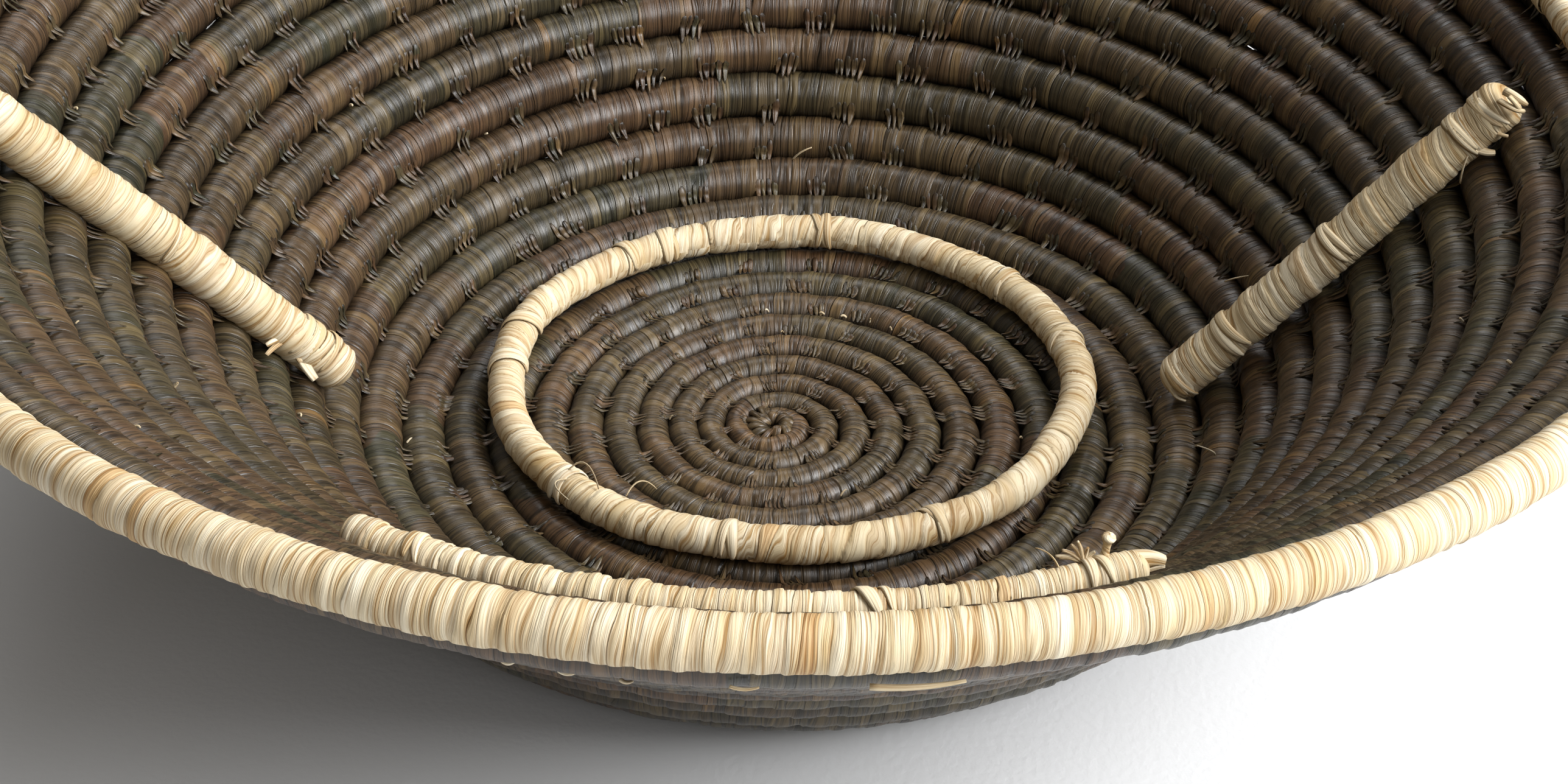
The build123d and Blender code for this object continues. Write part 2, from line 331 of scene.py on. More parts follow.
def raffia(name, look):
    # Split palm leaf wound in strips. The wrap map counts strips along the bundle, so each
    # strip has its own tone, a dark edge where it laps the next and fine fibres along it.
    material = bpy.data.materials.new(name)
    material.use_nodes = True
    tree = material.node_tree
    tree.nodes.clear()
    plus, times, less = (dict(operation=word) for word in ("ADD", "MULTIPLY", "SUBTRACT"))
    mix, shade = (dict(out=2, data_type="RGBA", blend_type=word) for word in ("MIX", "MULTIPLY"))
    oneValue = dict(noise_dimensions="1D")
    along = add(tree, "SeparateXYZ", {0: add(tree, "UVMap", uv_map="wrap")})
    roundIt = along.node.outputs[1]
    strip = add(tree, "Math", {0: along}, operation="FLOOR")
    inStrip = add(tree, "Math", {0: along}, operation="FRACT")
    tone = add(tree, "TexWhiteNoise", {"W": strip}, **oneValue)
    other = add(tree, "TexWhiteNoise", {"W": add(tree, "Math", {0: strip, 1: 0.37}, **plus)}, **oneValue)
    # fibres: noise drawn out along the strip
    fine = add(tree, "CombineXYZ", {
        0: add(tree, "Math", {0: along, 1: look["fibres"]}, **times),
        1: add(tree, "Math", {0: roundIt, 1: look["fibreRun"]}, **times),
        2: add(tree, "Math", {0: tone, 1: 9.0}, **times)})
    fibre = add(tree, "TexNoise", {"Vector": fine, "Scale": 1.0, "Detail": 3.0, "Roughness": 0.65})
    broad = add(tree, "CombineXYZ", {
        0: add(tree, "Math", {0: along, 1: look["streaks"]}, **times),
        1: add(tree, "Math", {0: roundIt, 1: look["streakRun"]}, **times)})
    streak = add(tree, "TexNoise", {"Vector": broad, "Scale": 1.0, "Detail": 2.0, "Roughness": 0.6})
    # baths: a run of strips that came from one leaf or one dye bath, with a patchy border
    place = add(tree, "TexCoord", out="Object")
    patch = add(tree, "TexNoise", {"Vector": place, "Scale": look["patchScale"], "Detail": 2.0,
                                   "Roughness": 0.7})
    walk = add(tree, "Math", {
        0: add(tree, "Math", {0: along, 1: 1 / look["bathStrips"]}, **times),
        1: add(tree, "Math", {0: patch, 1: 1.5}, **times)}, **plus)
    bath = add(tree, "TexWhiteNoise", {"W": add(tree, "Math", {0: walk}, operation="FLOOR")}, **oneValue)
    colour = add(tree, "Mix", {
        0: look["toneShare"], 6: add(tree, "ValToRGB", {0: bath}, stops=look["baths"]),
        7: add(tree, "ValToRGB", {0: tone}, stops=look["tones"])}, **mix)
    if "worn" in look:                   # the middle of the floor has lost some of its dye
        away = add(tree, "VectorMath", {0: place}, out="Value", operation="LENGTH")
        fade = add(tree, "MapRange", {"Value": away, "From Min": look["wornReach"] * mm,
                                      "From Max": 0.0, "To Max": look["wornShare"]})
        colour = add(tree, "Mix", {0: fade, 6: colour, 7: look["worn"]}, **mix)
    rare = add(tree, "Math", {0: other, 1: 1 - look["rareShare"]}, operation="GREATER_THAN")
    rare = add(tree, "Math", {0: rare, 1: 0.75}, **times)
    colour = add(tree, "Mix", {0: rare, 6: colour, 7: look["rare"]}, **mix)
    for noise, tones in ((streak, look["streakTones"]), (fibre, look["fibreTones"])):
        shadow = add(tree, "ValToRGB", {0: noise}, stops=tones)
        colour = add(tree, "Mix", {0: 1.0, 6: colour, 7: shadow}, **shade)
    if "paintedGrooveShade" in look:                 # painted shade: darker where a row touches the next, at V 0 and a half, for the shadow in the gap between rows
        side = add(tree, "Math", {0: roundIt, 1: fullTurn}, **times)
        side = add(tree, "Math", {0: side}, operation="SINE")
        side = add(tree, "Math", {0: side}, operation="ABSOLUTE")
        # painted shade: the ramp darkens the sides of the row where the gap to the next row lies in shadow
        shadow = add(tree, "ValToRGB", {0: side}, stops=look["paintedGrooveShade"])
        colour = add(tree, "Mix", {0: 1.0, 6: colour, 7: shadow}, **shade)
    # the lap: a thin dark line, stronger on some strips
    lap = add(tree, "ValToRGB", {0: inStrip}, stops=[
        (0.0, 0.0), (look["lap"], 1.0), (1 - look["lap"] / 2, 1.0), (1.0, 0.4)])
    seen = add(tree, "Math", {0: 0.12, 1: add(tree, "Math", {0: other, 1: 2.0}, operation="POWER")}, **plus)
    seen = add(tree, "Math", {0: add(tree, "Math", {0: 1.0, 1: lap}, **less), 1: seen}, **times)
    seen = add(tree, "Math", {0: seen, 1: look["lapShare"]}, use_clamp=True, **times)
    colour = add(tree, "Mix", {0: seen, 6: colour, 7: look["lapColour"]}, **mix)
    # the bump: fibres and streaks stand up, and the lap goes in
    height = add(tree, "Math", {
        0: add(tree, "Math", {0: fibre, 1: 0.8}, **times),
        1: add(tree, "Math", {0: seen, 1: -0.6}, **times)}, **plus)
    height = add(tree, "Math", {0: height, 1: add(tree, "Math", {0: streak, 1: 0.5}, **times)}, **plus)
    bump = add(tree, "Bump", {"Strength": 1.0, "Distance": look["bump"] * mm, "Height": height})
    smooth, rough = look["rough"]
    rough = add(tree, "MapRange", {"Value": fibre, "To Min": smooth, "To Max": rough})
    shader = add(tree, "BsdfPrincipled", {"IOR": 1.45, "Specular IOR Level": look["shine"],
                                          "Base Color": colour, "Roughness": rough, "Normal": bump})
    add(tree, "OutputMaterial", {0: shader})
    return material


# dyed raffia, wound by hand: brown, reddish and greenish black by turns, with a satin shine
dyedLook = dict(
    baths=[(0.0, "#473824"), (0.18, "#5f442e"), (0.36, "#463d27"), (0.52, "#353a28"), (0.7, "#554029"),
           (0.86, "#43442f"), (1.0, "#634e34")],
    tones=[(0.0, "#241c11"), (0.3, "#483925"), (0.72, "#66523a"), (1.0, "#846e47")],
    toneShare=0.38, rare="#7d5f37", rareShare=0.006,
    worn="#7b5f3e", wornReach=52.0, wornShare=0.4,
    streakTones=[(0.3, 0.62), (0.68, 1.0)], fibreTones=[(0.4, 0.3), (0.56, 1.0)],
    fibres=4.0, fibreRun=1.0, streaks=0.7, streakRun=1.6, bathStrips=16.0, patchScale=25.0,
    lap=0.1, lapShare=1.15, lapColour="#0f0c06", bump=0.28, rough=(0.26, 0.46),
    # the last ramp is painted shade: it darkens the sides of each row where it meets the next, for the
    # shadow in the gap between rows
    shine=0.55, paintedGrooveShade=[(0.22, 0.2), (0.82, 1.0)])
# undyed raffia: dull straw and cream, with fine brown lines where the leaf was split
naturalLook = dict(
    baths=[(0.0, "#cbbd9f"), (0.35, "#d6cab1"), (0.7, "#cdbd9b"), (1.0, "#dad1bb")],
    tones=[(0.0, "#bda684"), (0.25, "#cfbf9d"), (0.7, "#d9ccb0"), (1.0, "#e4dbc6")],
    toneShare=0.5, rare="#c4a577", rareShare=0.015,
    streakTones=[(0.25, "#dccbab"), (0.6, "#ffffff")], fibreTones=[(0.34, "#bda27a"), (0.52, "#ffffff")],
    fibres=4.4, fibreRun=1.1, streaks=1.3, streakRun=1.2, bathStrips=9.0, patchScale=30.0,
    lap=0.1, lapShare=0.8, lapColour="#8a683c", bump=0.32, rough=(0.45, 0.7), shine=0.4)
# dry grass, hidden inside the wraps: stems about a millimetre thick, dull and straw-coloured
grassLook = dict(
    scale=900.0, detail=2.0, tones=[(0.3, "#6f5630"), (0.7, "#b3955c")],
    bumpShare=0.8, bump=0.3, rough=0.8)
dyed = raffia("dyedRaffiaWound", dyedLook)
natural = raffia("undyedRaffiaWound", naturalLook)


def grained(name, look):
    # a dull surface: one noise raises it, and colours it too where it has tones
    material = bpy.data.materials.new(name)
    material.use_nodes = True
    tree = material.node_tree
    grain = add(tree, "TexNoise", {"Vector": add(tree, "TexCoord", out="Object"),
                                   "Scale": look["scale"], "Detail": look["detail"]})
    bump = add(tree, "Bump", {"Strength": look["bumpShare"], "Distance": look["bump"] * mm, "Height": grain})
    inputs = tree.nodes["Principled BSDF"].inputs
    inputs["Roughness"].default_value = look["rough"]
    tree.links.new(bump, inputs["Normal"])
    if "tones" in look:
        tree.links.new(add(tree, "ValToRGB", {0: grain}, stops=look["tones"]), inputs["Base Color"])
    else:
        inputs["Base Color"].default_value = linear(look["colour"])
    return material


grass = grained("dryGrassStems", grassLook)

# gaps between the groups of stitches along a row, and the turn where the first group is
stitchGap = dict(middle=7.5, wall=13.2, jitter=0.28, firstTurn=1.1)


def stitchPlaces():
    # lengths along the coil of the stitch groups, wider apart where the rows are thicker
    places, here = [], lengthAt(stitchGap["firstTurn"])
    end = lengthAt(rimTurn + coil["rowStart"])
    while here < end:
        places.append(here)
        thick = (pitch(turnAt(here)) - coil["centrePitch"]) / (coil["wallPitch"] - coil["centrePitch"])
        gap = stitchGap["middle"] + (stitchGap["wall"] - stitchGap["middle"]) * thick
        here += gap * (1 + stitchGap["jitter"] * rng.uniform(-1, 1))
    return np.array(places)


stitches = stitchPlaces()

rowLook = dict(
    widths=(0.8, 3.0), lay=1, waver=0.2, dome=0.06, shingle=0.09, uneven=0.11,
    step=0.55, around=24,                   # mesh spacing along and round a row
    rougher=1.2, rougherTurns=3,            # the first turns are wound more roughly
    pinch=0.035, pinchWidth=2.2,            # a stitch group draws the row in
    tighter=2, tighterTurns=4,              # and more so on the first turns
    swell=0.012, swellRun=26,
    lap=3, endShare=0.7,                    # rings that rows overlap, drawn in at the end
    startRun=2.5, startShare=0.35)          # the first row grows out of the knot


def rowRadius(u, length):
    # half the spacing, pinched at each stitch group and slowly uneven between them
    near = np.searchsorted(stitches, length)
    before = length - stitches[np.clip(near - 1, 0, len(stitches) - 1)]
    after = stitches[np.clip(near, 0, len(stitches) - 1)] - length
    gap = np.minimum(np.abs(before), np.abs(after))
    radius = pitch(u) / 2 * coil["fill"] * (1 + rowLook["swell"] * wave(length, rowLook["swellRun"], 3))
    pinch = rowLook["pinch"] * (1 + rowLook["tighter"] * np.exp(-u / rowLook["tighterTurns"]))
    return radius * (1 - pinch * np.exp(-(gap / rowLook["pinchWidth"]) ** 2))


def buildRow(row, start, end):
    # a tube along the coil from turn start to turn end, with the relief of its strips. Rows
    # overlap end to end, and each end is drawn in so that it hides inside the next row
    step, lap, endShare = rowLook["step"], rowLook["lap"], rowLook["endShare"]
    first = int(lengthAt(start) / step) - (0 if row == 1 else lap)
    last = int(lengthAt(end) / step) + lap
    length = np.arange(first, last + 1) * step
    u = turnAt(length)
    middle, normal = coilFrame(u)[:2]
    strips = stripMap(length, rowLook, 5)
    rougher = 1 + rowLook["rougher"] * np.exp(-u / rowLook["rougherTurns"])
    relief = stripRelief(strips, rowLook, 7) * (rougher * pitch(u) / coil["wallPitch"])[:, None]
    fromEnd = np.minimum(np.arange(len(length)), np.arange(len(length))[::-1])
    taper = endShare + (1 - endShare) * np.clip(fromEnd / lap, 0, 1)
    if row == 1:
        taper *= np.clip((length - length[0]) / rowLook["startRun"] + rowLook["startShare"], 0, 1)
    radius = (rowRadius(u, length)[:, None] + relief) * taper[:, None]
    points, quads, tris, uv = tubeParts(middle, normal, radius, strips)
    points[:, 2] = np.maximum(points[:, 2], 0.0)       # pressed flat where the bowl stands
    return makePiece(f"row_{row:02d}_raffia", points, quads, tris, uv, dyed, "dark_raffia",
                     [f"row_{row:02d}_wrap"])


for row in range(1, coil["rows"] + 1):
    rowBegin = coil["firstTurn"] if row == 1 else row + coil["rowStart"]
    buildRow(row, rowBegin, row + 1 + coil["rowStart"])
print("rows wound:", coil["rows"])

bundleLook = dict(
    radius=1.1, firstTurn=0.75, step=1.6, around=7, widths=(1.0, 2.0), lay=0, waver=0.0,
    swell=0.05, swellRun=11)


def buildBundle(name, length, middle, normal, radius, node):
    # the grass inside a wrap, a tube thin enough to stay hidden under it
    radius = radius * (1 + bundleLook["swell"] * wave(length, bundleLook["swellRun"], 91))
    strips = stripMap(length, bundleLook, 92)
    parts = tubeParts(middle, normal, np.repeat(radius[:, None], bundleLook["around"], 1), strips)
    return makePiece(name, *parts, grass, "grass_bundle", [node])


bundleLength = np.arange(lengthAt(bundleLook["firstTurn"]), lengthAt(rimTurn + 1 + coil["rowStart"]),
                         bundleLook["step"])
bundleMiddle, bundleNormal = coilFrame(turnAt(bundleLength))[:2]
buildBundle("coil_grass", bundleLength, bundleMiddle, bundleNormal, bundleLook["radius"], "coil_bundle")
print("bundle laid, length in m:", round(np.ptp(bundleLength) * mm, 2))

clawLook = dict(
    strands=(3, 6), spread=1.25,         # strands of a group, and how far apart they lie
    spreadShare=(0.85, 1.3), tipSpread=0.92,
    width=(1.0, 1.9), thick=0.16,
    reach=(0.4, 2.4),                    # how far the points go over the row inside
    lean=0.7,                            # how far a whole group leans along the row
    startAngle=(5, 28), leaveAngle=50,   # degrees from the top of the row, going inwards
    leaveShare=0.62,                     # share of a strand that lies on its own row
    bury=0.3, clear=0.02, blunt=(1.5, 4.0), steps=8)


def buildClaws(name, places):
    # Each strand lies on its row, from near the top round to the inner side, then runs
    # straight over the gap and ends in a point on the row inside; a group closes like a claw.
    look = clawLook
    counts = rng.integers(*look["strands"], len(places))
    group = np.repeat(np.arange(len(places)), counts)
    order = np.concatenate([np.arange(count) - (count - 1) / 2 for count in counts])
    total = len(group)
    size = (pitch(turnAt(places)) / coil["wallPitch"])[group]
    lean = rng.normal(0, look["lean"], len(places))[group]
    t = np.linspace(0, 1, look["steps"])[None]
    # along the row: from its own start to a tip nearer the others'
    fromTop = np.radians(rng.uniform(*look["startAngle"], total))[:, None]
    ride = np.clip(t / look["leaveShare"], 0, 1)
    angle = fromTop + (math.radians(look["leaveAngle"]) - fromTop) * ride
    startOff = order * look["spread"] * rng.uniform(*look["spreadShare"], total)
    tipOff = order * look["spread"] * look["tipSpread"] + lean
    closing = t ** 1.6
    offset = (startOff[:, None] * (1 - closing) + tipOff[:, None] * closing) * size[:, None]
    length = places[group][:, None] + offset
    u = turnAt(length)
    middle, normal, out = coilFrame(u)[:3]
    # across the row: on its skin, with the start buried in it
    radius = rowRadius(u, length) + look["clear"] + 0.06 * np.sin(math.pi * np.clip(t * 1.2, 0, 1))
    radius = radius - look["bury"] * (1 - np.clip(t / 0.25, 0, 1))
    inner, lift = radius * np.sin(angle), radius * np.cos(angle)
    # over the gap: to a point on the skin of the row inside
    past = np.clip((t - look["leaveShare"]) / (1 - look["leaveShare"]), 0, 1)
    reach = (rng.uniform(*look["reach"], total) * size)[:, None]
    half = pitch(u) / 2
    rise = np.sqrt(np.maximum((half * coil["fill"]) ** 2 - (half - reach) ** 2, 0))
    tipLift = rise + look["clear"] + 0.08 * rng.uniform(0, 1, total)[:, None]
    inner = inner + (half + reach - inner) * past
    lift = lift + (tipLift - lift) * past
    place = middle - out * inner[..., None] + normal * lift[..., None]
    facing = angle * (1 - past)
    up = normal * np.cos(facing)[..., None] - out * np.sin(facing)[..., None]
    widest = (rng.uniform(*look["width"], total) * size)[:, None]
    point = 1 - 0.85 * t ** rng.uniform(*look["blunt"], total)[:, None]
    width = widest * (0.6 + 0.4 * np.sin(math.pi / 2 * np.clip(t * 1.6, 0, 1))) * point
    thick = look["thick"] * size[:, None] * (1 - 0.6 * t ** 2)
    parts = ribbonParts(place, up, width, thick, rng.integers(0, ribbon["tones"], total))
    return makePiece(name, *parts, dyed, "dark_raffia")


midStitch = len(stitches) // 2
buildClaws("stitches_floor_side", stitches[:midStitch])
buildClaws("stitches_wall_side", stitches[midStitch:])
print("stitch groups:", len(stitches))

rimLook = dict(
    widths=(0.7, 2.7), lay=1, waver=0.14, dome=0.09, shingle=0.1, uneven=0.13,
    step=0.45, around=40,
    share=0.835,                            # its thickness as a share of the spacing
    drop=1.1, inward=0.35,                  # it sits lower and further in than a row would
    swell=0.025, swellRun=34,
    tail=0.12, tailShare=0.22, past=0.02)   # it thins out towards the coil's end


def buildRim():
    # the last turn: a tube along the coil that thins out at the back, where the coil ends
    end = rimTurn + 1 + coil["rowStart"] + rimLook["past"]
    length = np.arange(lengthAt(rimTurn + coil["rowStart"]), lengthAt(end), rimLook["step"])
    u = turnAt(length)
    middle, normal, out = coilFrame(u)[:3]
    strips = stripMap(length - length[0], rimLook, 12)
    left = np.clip((end - u) / rimLook["tail"], 0, 1)
    share = rimLook["tailShare"] + (1 - rimLook["tailShare"]) * np.sin(left * math.pi / 2) ** 0.8
    swell = 1 + rimLook["swell"] * wave(length, rimLook["swellRun"], 11)
    radius = (pitch(u) / 2 * rimLook["share"] * swell)[:, None] + stripRelief(strips, rimLook, 13)
    inward = rimLook["inward"] + (1 - share) * pitch(u) / 2
    middle = middle - out * inward[:, None]
    middle += normal * (sag(u, -fullTurn * u) - rimLook["drop"])[:, None]
    parts = tubeParts(middle, normal, radius * share[:, None], strips)
    return makePiece("rim_raffia", *parts, natural, "natural_raffia", ["rim_wrap"])


buildRim()
print("rim wound")

ringLook = dict(
    tube=3.1, widths=(1.3, 3.8), lay=2, waver=0.2, dome=0.16, shingle=0.2, uneven=0.14,
    step=0.36, around=36,
    wide=1.034, deep=0.952,                # it is slightly oval
    corners=((5, 0.6, 0.006), (9, 2, 0.004)),
    thinner=0.15, swell=0.05, swellRun=17,
    begin=1.9, endShare=0.9, endRun=1.5,   # where it closes, and its ends drawn in there
    bundle=1.9, bundleReach=48, bundleSteps=220,
    ties=(14, 38, 84, 118, 128, 163, 178, 222, 258, 299, 338), perTie=3)
ringLow, ringHigh, ringCentre = cadBox("ring_wrap")
ringReach = (ringHigh[0] - ringLow[0]) / 2 - ringLook["tube"]
floorUp = np.array([[0.0, 0.0, 1.0]])


def ringLine(angle):
    # a slightly oval, slightly angular loop on the floor
    corners = sum(share * np.sin(waves * angle + start) for waves, start, share in ringLook["corners"])
    reach = ringReach * (1 + corners)
    return np.stack([ringCentre[0] + reach * ringLook["wide"] * np.cos(angle),
                     ringCentre[1] + reach * ringLook["deep"] * np.sin(angle),
                     ringCentre[2] + 0 * angle], -1)


def buildRing():
    # a tube once round the loop, whose ends meet and are drawn in where they do
    total = fullTurn * ringReach
    steps = int(total / ringLook["step"])
    share = np.arange(steps + 1) / steps
    strips = stripMap(share * total, ringLook, 21)
    uneven = wave(share * total, ringLook["swellRun"], 23) * np.sin(math.pi * share) ** 0.2
    radius = (ringLook["tube"] - ringLook["thinner"]) * (1 + ringLook["swell"] * uneven)[:, None]
    radius = radius + stripRelief(strips, ringLook, 22)
    ends = np.clip(np.minimum(share, 1 - share) * total / ringLook["endRun"], 0, 1)
    radius = radius * (ringLook["endShare"] + (1 - ringLook["endShare"]) * ends)[:, None]
    line = ringLine(-fullTurn * share + ringLook["begin"])
    parts = tubeParts(line, np.repeat(floorUp, len(line), 0), radius, strips)
    makePiece("ring_raffia", *parts, natural, "natural_raffia", ["ring_wrap"])
    share = np.linspace(0, 1, ringLook["bundleSteps"])
    line = ringLine(-fullTurn * share + ringLook["begin"])
    length = share * fullTurn * ringLook["bundleReach"]
    upward = np.repeat(floorUp, len(line), 0)
    buildBundle("ring_grass", length, line, upward, ringLook["bundle"], "ring_bundle")


buildRing()
print("ring wound")

barLook = dict(
    tube=3.5, widths=(1.0, 3.2), lay=2, waver=0.2, dome=0.15, shingle=0.2, uneven=0.16,
    step=0.4, around=36,
    thicker=0.4, longer=0.6,                # than the CAD's bars, at each side and end
    rise=0.35, riseRun=40, bend=0.4, bendRun=55, swell=0.06, swellRun=15,
    endRun=3.15, endStart=0.02,             # the rounding of the ends
    bundleShare=0.7, hidden=2.5)            # the bundle stops short of both ends
# foot and head say whether an end is at the high side of the CAD box along each axis, the
# shifts how far the bar was bound off its place, and ties where it is tied, as shares
straightBars = {
    "right_bar": dict(
        foot=(0, 0, 0), head=(1, 1, 1), footShift=(0, 0, 0), headShift=(0, 0, 0),
        grow=0.0,                        # how much thicker it is at the head, as a share
        seed=31, stripSeed=31, ties=(0.04, 0.2, 0.5, 0.85, 0.93), tieSeed=81),
    "left_bar": dict(
        foot=(1, 1, 0), head=(0, 0, 1), footShift=(-1.0, -1.8, -0.3), headShift=(0, -2.7, 0),
        grow=0.14,
        seed=41, stripSeed=41, ties=(0.06, 0.13, 0.5, 0.8), tieSeed=82)}


def barLine(name):
    # the straight middle line of a bar, from foot to head, and its upward side
    bar, tube = straightBars[name], barLook["tube"]
    low, high = cadBox(name + "_wrap")[:2]
    start = np.where(np.array(bar["foot"]) > 0, high - tube, low + tube) + bar["footShift"]
    end = np.where(np.array(bar["head"]) > 0, high - tube, low + tube) + bar["headShift"]
    axis = (end - start) / np.linalg.norm(end - start)
    before = tube + barLook["longer"]
    length = np.arange(0, np.linalg.norm(end - start) + 2 * before, barLook["step"])
    side = np.cross(axis, [0, 0, 1.0])
    side /= np.linalg.norm(side)
    return start - axis * before + length[:, None] * axis, np.cross(side, axis)


def buildBar(name, bar, look, length, middle, upward, thick):
    # a tube of the given thickness with rounded ends and the relief of its strips, and the
    # grass in it, which stops short of the ends
    swell = 1 + look["swell"] * wave(length, look["swellRun"], bar["seed"] + 3)
    ends = np.clip(np.minimum(length, length[-1] - length) / look["endRun"], look["endStart"], 1)
    strips = stripMap(length, look, bar["stripSeed"])
    radius = (thick * swell)[:, None] + stripRelief(strips, look, bar["seed"] + 2)
    radius = radius * np.sqrt(1 - (1 - ends) ** 2)[:, None]
    inside = (length > barLook["hidden"]) & (length < length[-1] - barLook["hidden"])
    buildBundle(name + "_grass", length[inside], middle[inside], upward[inside],
                look["tube"] * barLook["bundleShare"], name + "_bundle")
    parts = tubeParts(middle, upward, radius, strips, seam=math.pi)
    makePiece(name + "_raffia", *parts, natural, "natural_raffia", [name + "_wrap"])


for name, bar in straightBars.items():
    # a straight line that wanders a little
    middle, up = barLine(name)
    length = np.linalg.norm(middle - middle[0], axis=1)
    side = np.cross((middle[-1] - middle[0]) / length[-1], up)
    middle = middle + up * (barLook["rise"] * wave(length, barLook["riseRun"], bar["seed"]))[:, None]
    middle = middle + side * (barLook["bend"] * wave(length, barLook["bendRun"], bar["seed"] + 1))[:, None]
    thick = (barLook["tube"] + barLook["thicker"]) * (1 + bar["grow"] * length / length[-1])
    buildBar(name, bar, barLook, length, middle, np.tile(up, (len(length), 1)), thick)

lyingLook = dict(
    tube=2.6, widths=(0.7, 1.9), lay=1, waver=0.15, dome=0.14, shingle=0.16, uneven=0.18,
    steps=480, around=28,
    gap=0.1, press=0.1,                   # from the rows, and back towards them
    climb=0.3,                            # rise of a bar that lies out of its valley
    thinner=0.1, rise=0.15, riseRun=22, swell=0.06, swellRun=9,
    endRun=2.0, endStart=0.05)
# each lies in the valley outside a row, over a span in degrees from +x
lyingBars = {
    "front_bar": dict(row=coil["rows"] - 3, span=(-118.5, -67.6), outward=0.0, seed=51, stripSeed=52,
                      ties=(-113, -99, -85, -71), tieSeed=83),
    "back_bar": dict(row=coil["rows"] - 2, span=(58.0, 3.0), outward=4.2, seed=61, stripSeed=62,
                     ties=(11, 25, 39, 53), tieSeed=84)}


def valleyLine(name, degrees):
    # the line where a bar touches both a row and the next: a triangle whose long sides are a
    # row's thickness and the bar's, and whose short side is half the spacing
    row, outward = lyingBars[name]["row"], lyingBars[name]["outward"]
    u = row + 0.5 - degrees / 360
    middle, normal, out = coilFrame(u, np.radians(degrees))[:3]
    reach = pitch(u) / 2 * coil["fill"] + lyingLook["tube"] + lyingLook["gap"]
    lift = np.sqrt(reach ** 2 - (pitch(u) / 2) ** 2) + outward * lyingLook["climb"]
    return middle + normal * lift[:, None] + out * outward, normal


for name, bar in lyingBars.items():
    middle, normal = valleyLine(name, np.linspace(*bar["span"], lyingLook["steps"]))
    hops = np.linalg.norm(np.diff(middle, axis=0), axis=1)
    length = np.concatenate([[0], np.cumsum(hops)])
    rise = lyingLook["rise"] * wave(length, lyingLook["riseRun"], bar["seed"]) - lyingLook["press"]
    thick = lyingLook["tube"] - lyingLook["thinner"]
    buildBar(name, bar, lyingLook, length, middle + normal * rise[:, None], normal, thick)
print("bars wound")

tieLook = dict(
    along=0.9, lift=(0, 0.22),              # scatter along the tube, height over it
    start=(-130, -95), end=(95, 130),       # degrees from the top of the tube
    shift=(0.6, 3.4), waver=0.25, width=(1.2, 2.5), thick=(0.18, 0.3), steps=20)


def tieParts(threes, normal, reach, perTie, seed):
    # Ribbons laid over a tube: each goes round it from one side to the other while it moves
    # a little along it. threes are points of the middle line before, at and after each tie.
    draw, second = np.random.default_rng(seed), np.random.default_rng(seed + 1)
    spot = np.repeat(np.arange(len(threes)), perTie)
    count = len(spot)
    tangent = threes[:, 2] - threes[:, 0]
    tangent /= np.linalg.norm(tangent, axis=1, keepdims=True)
    tangent, normal = tangent[spot], normal[spot]
    centre = threes[spot, 1] + tangent * draw.normal(0, tieLook["along"], count)[:, None]
    reach = reach + draw.uniform(*tieLook["lift"], count)
    start, end = (np.radians(draw.uniform(*tieLook[key], count))[:, None] for key in ("start", "end"))
    shift = (draw.choice([-1, 1], count) * draw.uniform(*tieLook["shift"], count))[:, None]
    width, thick = (draw.uniform(*tieLook[key], count)[:, None] for key in ("width", "thick"))
    t = np.linspace(0, 1, tieLook["steps"])[None]
    angle = start + (end - start) * t
    side = np.cross(tangent, normal)
    up = normal[:, None] * np.cos(angle)[..., None] + side[:, None] * np.sin(angle)[..., None]
    bend = shift * (t - 0.5)
    bend = bend + tieLook["waver"] * np.sin(fullTurn * (t + second.uniform(0, 1, (count, 1))))
    place = centre[:, None] + tangent[:, None] * bend[..., None] + up * reach[:, None, None]
    width = width * (0.35 + 0.65 * np.sin(math.pi * np.clip(t * 1.05, 0, 1)) ** 0.5)
    return ribbonParts(place, up, width, thick + 0 * t, second.integers(0, ribbon["tones"], count))


def buildTies():
    # the ring's ties, then each bar's, which keep the CAD nodes' names
    threes = ringLine(np.radians(ringLook["ties"])[:, None] + np.array([-0.02, 0, 0.02]))
    ties = {"ring": tieParts(threes, np.repeat(floorUp, len(threes), 0), ringLook["tube"] + 0.02,
                             ringLook["perTie"], 71)}
    for name, bar in straightBars.items():
        middle, up = barLine(name)
        line = middle[-1] - middle[0]
        shares = np.array(bar["ties"])[:, None, None] + np.array([-0.01, 0, 0.01])[None, :, None]
        reach = barLook["tube"] + barLook["thicker"] + 0.1
        ties[name] = tieParts(middle[0] + line * shares, np.tile(up, (len(shares), 1)), reach, 2,
                              bar["tieSeed"])
    for name, bar in lyingBars.items():
        degrees = np.array(bar["ties"])[:, None] + np.array([-1, 0, 1])
        threes, upward = valleyLine(name, degrees.ravel())
        threes = threes - upward * lyingLook["press"]
        ties[name] = tieParts(threes.reshape(-1, 3, 3), upward[1::3], lyingLook["tube"] + 0.1, 2,
                              bar["tieSeed"])
    for name, parts in ties.items():
        makePiece(name + "_ties_raffia", *parts, natural, "natural_raffia", [name + "_ties"])


buildTies()
print("ties made")

looseLook = dict(up=(0.1, -0.6, 0.8), turn=0.4, taper=0.45, steps=12)


